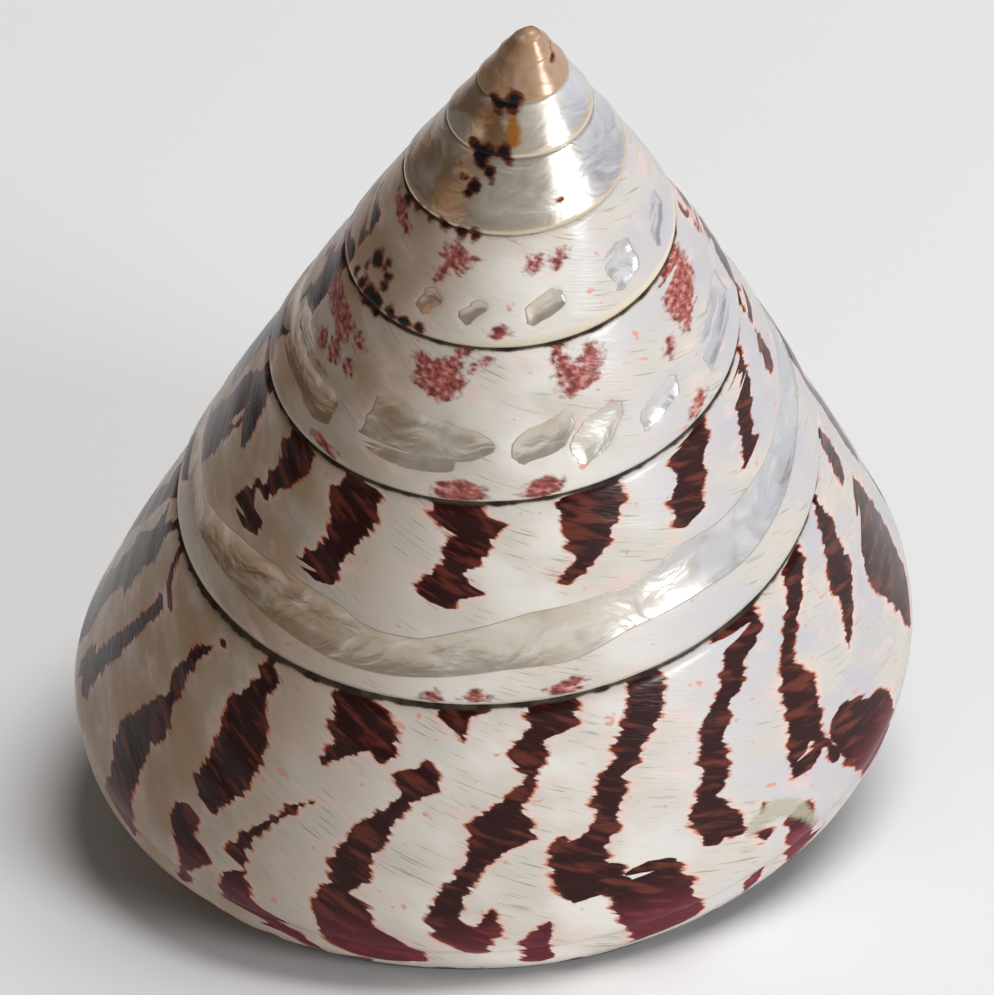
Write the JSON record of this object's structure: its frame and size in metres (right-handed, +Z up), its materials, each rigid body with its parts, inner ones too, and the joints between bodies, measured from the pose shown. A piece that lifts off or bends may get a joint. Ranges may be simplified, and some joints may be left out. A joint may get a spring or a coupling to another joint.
{
  "type": "top shell",
  "caption": "Cone-shaped spiral sea shell with a low pitched seam line, hollow last whorl and an open slanting mouth; rests on its base.",
  "frame": {"origin": "centre of the bounding box on the surface that the shell rests on", "axes": "+Z up, +X to the right in the picture; the shell's own axis leans 16.8 degrees from +Z, towards the viewer and a little to the right"},
  "size_m": [0.0816, 0.0868, 0.0925],
  "materials": {
    "shell": "polished shell, off-white with maroon flames and pearly bands"
  },
  "bodies": {
    "root": {"top_shell": "shell"}
  },
  "joints": []
}
